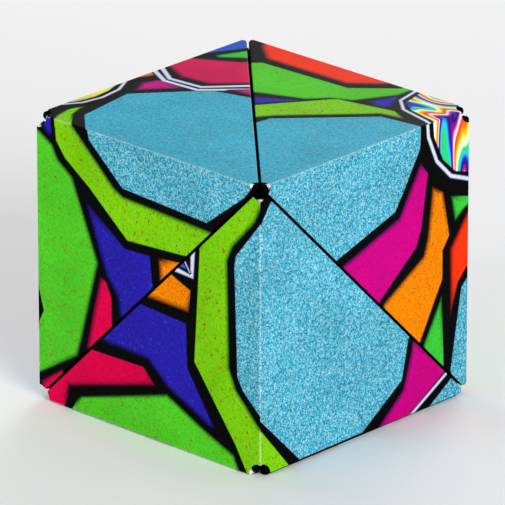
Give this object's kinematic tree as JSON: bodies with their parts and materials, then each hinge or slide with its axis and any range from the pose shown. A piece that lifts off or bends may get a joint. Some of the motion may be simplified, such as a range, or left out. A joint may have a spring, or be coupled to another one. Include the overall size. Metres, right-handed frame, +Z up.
{
  "type": "magnetic folding puzzle cube",
  "caption": "Fidget puzzle cube of tetrahedral cells joined in a ring by film hinges, held shut by magnets, that folds out into other solid shapes",
  "frame": {"origin": "centre of the bottom face, on the plane that the closed cube rests on", "axes": "+Z up; the faces of the closed cube lie along X and Y; the front face looks along -Y, the side face along +X"},
  "size_m": [0.057, 0.057, 0.057],
  "materials": {
    "printed_film": "satin printed plastic film, stained-glass style pattern, fine pebble texture",
    "fold_film": "the same film where it folds, slightly polished by bending",
    "core_plastic": "black moulded plastic, glossy",
    "lid_plastic": "black moulded plastic, fine spark-eroded texture",
    "magnet": "nickel-plated disc magnet"
  },
  "bodies": {
    "front_upper": {"front_upper_core": "core_plastic", "front_upper_lid": "lid_plastic", "front_upper_magnets": "magnet", "front_upper_film": "printed_film", "fold_front_upper_top_left": "fold_film"},
    "top_left": {"top_left_core": "core_plastic", "top_left_lid": "lid_plastic", "top_left_magnets": "magnet", "top_left_film": "printed_film", "fold_top_left_top_right": "fold_film"},
    "top_right": {"top_right_core": "core_plastic", "top_right_lid": "lid_plastic", "top_right_magnets": "magnet", "top_right_film": "printed_film", "fold_top_right_side_upper": "fold_film"},
    "side_upper": {"side_upper_core": "core_plastic", "side_upper_lid": "lid_plastic", "side_upper_magnets": "magnet", "side_upper_film": "printed_film", "fold_side_upper_side_lower": "fold_film"},
    "side_lower": {"side_lower_core": "core_plastic", "side_lower_lid": "lid_plastic", "side_lower_magnets": "magnet", "side_lower_film": "printed_film", "fold_side_lower_front_lower": "fold_film"},
    "front_lower": {"front_lower_core": "core_plastic", "front_lower_lid": "lid_plastic", "front_lower_magnets": "magnet", "front_lower_film": "printed_film", "fold_front_lower_base_front": "fold_film"},
    "base_front": {"base_front_core": "core_plastic", "base_front_lid": "lid_plastic", "base_front_magnets": "magnet", "base_front_film": "printed_film", "fold_base_front_base_back": "fold_film"},
    "base_back": {"base_back_core": "core_plastic", "base_back_lid": "lid_plastic", "base_back_magnets": "magnet", "base_back_film": "printed_film", "fold_base_back_back_lower": "fold_film"},
    "back_lower": {"back_lower_core": "core_plastic", "back_lower_lid": "lid_plastic", "back_lower_magnets": "magnet", "back_lower_film": "printed_film", "fold_back_lower_back_upper": "fold_film"},
    "back_upper": {"back_upper_core": "core_plastic", "back_upper_lid": "lid_plastic", "back_upper_magnets": "magnet", "back_upper_film": "printed_film", "fold_back_upper_left_upper": "fold_film"},
    "left_upper": {"left_upper_core": "core_plastic", "left_upper_lid": "lid_plastic", "left_upper_magnets": "magnet", "left_upper_film": "printed_film", "fold_left_upper_left_lower": "fold_film"},
    "left_lower": {"left_lower_core": "core_plastic", "left_lower_lid": "lid_plastic", "left_lower_magnets": "magnet", "left_lower_film": "printed_film", "fold_left_lower_front_upper": "fold_film"}
  },
  "joints": [
    {"name": "main_fold", "type": "hinge", "parent": "front_upper", "child": "top_left", "pos_m": [0.02855, -0.02855, 0.05705], "axis": [1, 0, 0], "range_deg": [0, 180]},
    {"name": "fold_across_top", "type": "hinge", "parent": "top_left", "child": "top_right", "pos_m": [-0.02855, 0.02855, 0.05705], "axis": [-0.5774, 0.5774, 0.5774], "range_deg": [0, 60]},
    {"name": "fold_top_to_side", "type": "hinge", "parent": "top_right", "child": "side_upper", "pos_m": [0.02855, -0.02855, 0.05705], "axis": [0, -1, 0], "range_deg": [0, 180]},
    {"name": "fold_across_side", "type": "hinge", "parent": "side_upper", "child": "side_lower", "pos_m": [0.02855, 0.02855, -0.00005], "axis": [0.5774, 0.5774, -0.5774], "range_deg": [0, 60]},
    {"name": "fold_side_to_front", "type": "hinge", "parent": "side_lower", "child": "front_lower", "pos_m": [0.02855, -0.02855, 0.05705], "axis": [0, 0, 1], "range_deg": [0, 180]},
    {"name": "fold_front_to_base", "type": "hinge", "parent": "front_lower", "child": "base_front", "pos_m": [0.02855, -0.02855, -0.00005], "axis": [-1, 0, 0], "range_deg": [0, 270]},
    {"name": "fold_across_base", "type": "hinge", "parent": "base_front", "child": "base_back", "pos_m": [0.02855, -0.02855, -0.00005], "axis": [0.5774, -0.5774, -0.5774], "range_deg": [0, 120]},
    {"name": "fold_base_to_back", "type": "hinge", "parent": "base_back", "child": "back_lower", "pos_m": [-0.02855, 0.02855, -0.00005], "axis": [-1, 0, 0], "range_deg": [0, 90]},
    {"name": "fold_left_to_back", "type": "hinge", "parent": "left_upper", "child": "back_upper", "pos_m": [-0.02855, 0.02855, -0.00005], "axis": [0, 0, 1], "range_deg": [0, 90]},
    {"name": "fold_across_left", "type": "hinge", "parent": "left_lower", "child": "left_upper", "pos_m": [-0.02855, -0.02855, 0.05705], "axis": [0.5774, 0.5774, -0.5774], "range_deg": [0, 120]},
    {"name": "fold_front_to_left", "type": "hinge", "parent": "front_upper", "child": "left_lower", "pos_m": [-0.02855, -0.02855, 0.05705], "axis": [0, 0, 1], "range_deg": [0, 270]}
  ],
  "couplings": [
    {"joint": "fold_across_top", "follows": "main_fold", "ratio": 0.33333},
    {"joint": "fold_top_to_side", "follows": "main_fold", "ratio": 1},
    {"joint": "fold_across_side", "follows": "main_fold", "ratio": 0.33333},
    {"joint": "fold_side_to_front", "follows": "main_fold", "ratio": 1},
    {"joint": "fold_front_to_base", "follows": "main_fold", "ratio": 1.5},
    {"joint": "fold_across_base", "follows": "main_fold", "ratio": 0.66667},
    {"joint": "fold_base_to_back", "follows": "main_fold", "ratio": 0.5},
    {"joint": "fold_left_to_back", "follows": "main_fold", "ratio": 0.5},
    {"joint": "fold_across_left", "follows": "main_fold", "ratio": 0.66667},
    {"joint": "fold_front_to_left", "follows": "main_fold", "ratio": 1.5}
  ]
}
